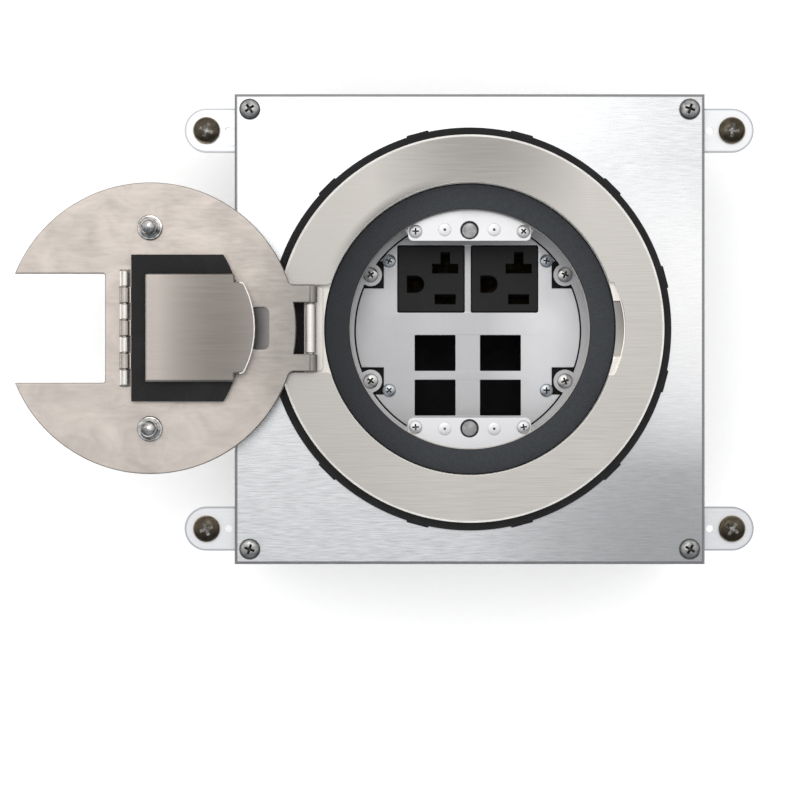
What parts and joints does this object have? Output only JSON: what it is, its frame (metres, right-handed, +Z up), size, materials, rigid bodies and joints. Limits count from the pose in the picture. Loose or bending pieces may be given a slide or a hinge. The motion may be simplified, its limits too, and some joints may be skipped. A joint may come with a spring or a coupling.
{
  "type": "floor socket box",
  "caption": "Square steel floor box with a round trim ring, open hinged lid with a cable flap, outlets and data openings in its well.",
  "frame": {"origin": "centre of the box's bottom outer face", "axes": "+Z up out of the floor, +X away from the lid hinge, +Y towards the outlets"},
  "size_m": [0.2914, 0.186, 0.1087],
  "materials": {
    "galvanised": "brushed",
    "stainless": "brushed",
    "silver_paint": "satin",
    "bright_steel": "polished",
    "bronze_screw": "satin",
    "magnet": "satin",
    "black_rubber": "matte",
    "grey_foam": "matte",
    "black_plastic": "satin",
    "brass": "satin",
    "green_screw": "satin"
  },
  "bodies": {
    "box": {"box_shell": "galvanised", "cover_plate": "galvanised", "cover_screws": "bright_steel", "ear_upper_left": "galvanised", "ear_lower_left": "galvanised", "ear_upper_right": "galvanised", "ear_lower_right": "galvanised", "ear_rivets": "bright_steel", "ear_screws": "bronze_screw", "carpet_ring": "black_rubber", "trim_ring": "stainless", "lock_ring": "galvanised", "ring_hinge_leaf": "stainless", "lid_gasket": "grey_foam", "well_sleeve": "galvanised", "well_foot": "galvanised", "catch_tabs": "galvanised", "catch_plate_upper": "silver_paint", "catch_plate_lower": "silver_paint", "magnet_bracket_upper": "galvanised", "magnet_bracket_lower": "galvanised", "catch_magnet_upper": "magnet", "catch_magnet_lower": "magnet", "catch_rivets": "bright_steel", "catch_screws": "bright_steel", "device_plate": "silver_paint", "device_plate_screws": "bright_steel", "lug_screws": "bright_steel", "carrier_left": "galvanised", "carrier_right": "galvanised", "outlet_face_left": "black_plastic", "outlet_face_right": "black_plastic", "outlet_body_left": "black_plastic", "outlet_body_right": "black_plastic", "outlet_contacts_left": "brass", "outlet_contacts_right": "brass", "terminal_screws_left": "brass", "terminal_screws_right": "brass", "voltage_divider": "galvanised", "earth_screw": "green_screw"},
    "lid": {"lid_plate": "stainless", "latch_studs": "bright_steel", "lid_hinge_pin": "bright_steel", "flap_hinge_knuckles": "stainless", "flap_hinge_pin": "bright_steel"},
    "flap": {"flap_backing": "stainless", "flap_gasket": "black_rubber", "flap_plate": "stainless"}
  },
  "joints": [
    {"name": "lid_hinge", "type": "hinge", "parent": "box", "child": "lid", "pos_m": [-0.0626, 0, 0.0971], "axis": [0, 1, 0], "range_deg": [0, 180]},
    {"name": "flap_hinge", "type": "hinge", "parent": "lid", "child": "flap", "pos_m": [-0.13485, 0, 0.1018], "axis": [0, -1, 0], "range_deg": [0, 180]}
  ]
}
